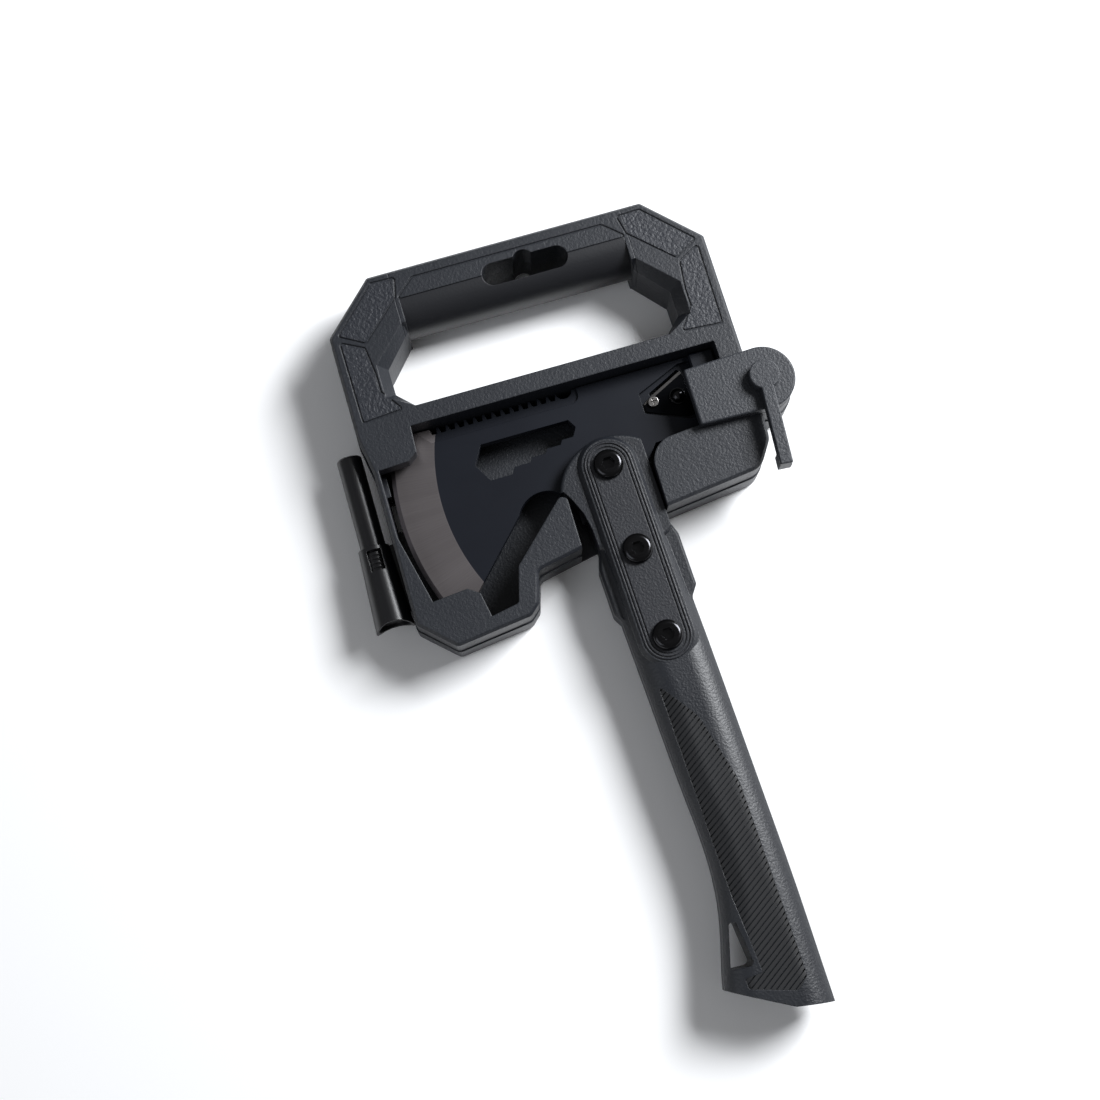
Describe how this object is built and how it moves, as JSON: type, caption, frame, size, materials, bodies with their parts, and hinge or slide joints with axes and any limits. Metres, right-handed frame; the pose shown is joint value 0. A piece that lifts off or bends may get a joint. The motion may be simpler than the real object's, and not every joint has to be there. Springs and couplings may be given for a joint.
{
  "type": "hatchet with carry case",
  "caption": "Multi-tool camping hatchet latched in a moulded carry case with a D-shaped carrying handle, a swing latch and a pull-out fire starter.",
  "frame": {"origin": "on the back face of the case, under the middle of the hatchet head", "axes": "+Z is the front of the case, +Y points from the head to the hand opening (the hatchet's handle runs to -Y), +X points to the latch pivot"},
  "size_m": [0.2066, 0.3542, 0.0379],
  "materials": {
    "case_plastic": "fine grained moulded ABS, satin",
    "grip_plastic": "smooth satin moulded plastic",
    "latch_plastic": "fine grained moulded nylon",
    "tube_plastic": "smooth black moulded plastic",
    "coated_steel": "dark satin coating; the ground bevel is bare steel",
    "bare_steel": "ground, uncoated",
    "black_steel": "gloss black oxide",
    "ferro": "dull grey sparking rod",
    "handle_nylon": "satin glass-filled nylon",
    "grip_rubber": "ribbed soft inlay"
  },
  "bodies": {
    "case": {"case_front_shell": "case_plastic", "case_back_shell": "case_plastic", "grip_bar_front": "case_plastic", "grip_bar_back": "case_plastic", "case_screws": "black_steel", "grip_cover": "grip_plastic", "latch_washer": "bare_steel", "tube_sleeve": "tube_plastic"},
    "hatchet": {"axe_head": "coated_steel", "strap_cutter_blade": "bare_steel", "cutter_screw": "bare_steel", "cutter_rivet": "black_steel", "handle_body": "handle_nylon", "grip_inlay_front": "grip_rubber", "grip_inlay_back": "grip_rubber", "side_plate_front": "handle_nylon", "side_plate_back": "handle_nylon", "handle_screws": "black_steel", "handle_nuts": "black_steel"},
    "arm": {"latch_arm": "latch_plastic"},
    "lever": {"lock_lever": "latch_plastic", "latch_pivot_pin": "bare_steel", "pivot_clip": "bare_steel"},
    "starter": {"starter_cap": "tube_plastic", "ferro_rod": "ferro"},
    "tab": {"release_tab": "tube_plastic"}
  },
  "joints": [
    {"name": "hatchet_tip", "type": "hinge", "parent": "case", "child": "hatchet", "pos_m": [-0.0787, 0, 0.015], "axis": [0, -1, 0], "range_deg": [0, 4.5]},
    {"name": "arm_swing", "type": "hinge", "parent": "case", "child": "arm", "pos_m": [0.0902, 0.0137, 0.028], "axis": [0, 0, 1], "range_deg": [0, 162]},
    {"name": "lever_turn", "type": "hinge", "parent": "arm", "child": "lever", "pos_m": [0.0902, 0.0137, 0.033], "axis": [0, 0, -1], "range_deg": [0, 86]},
    {"name": "starter_pull", "type": "slide", "parent": "case", "child": "starter", "axis": [0, 1, 0], "range_m": [0, 0.045]},
    {"name": "tab_press", "type": "hinge", "parent": "starter", "child": "tab", "pos_m": [-0.093, -0.0191, 0.01765], "axis": [-1, 0, 0], "range_deg": [0, 5], "stiffness_Nm_per_rad": 0.002}
  ],
  "couplings": [
    {"joint": "arm_swing", "follows": "hatchet_tip", "ratio": 36}
  ]
}
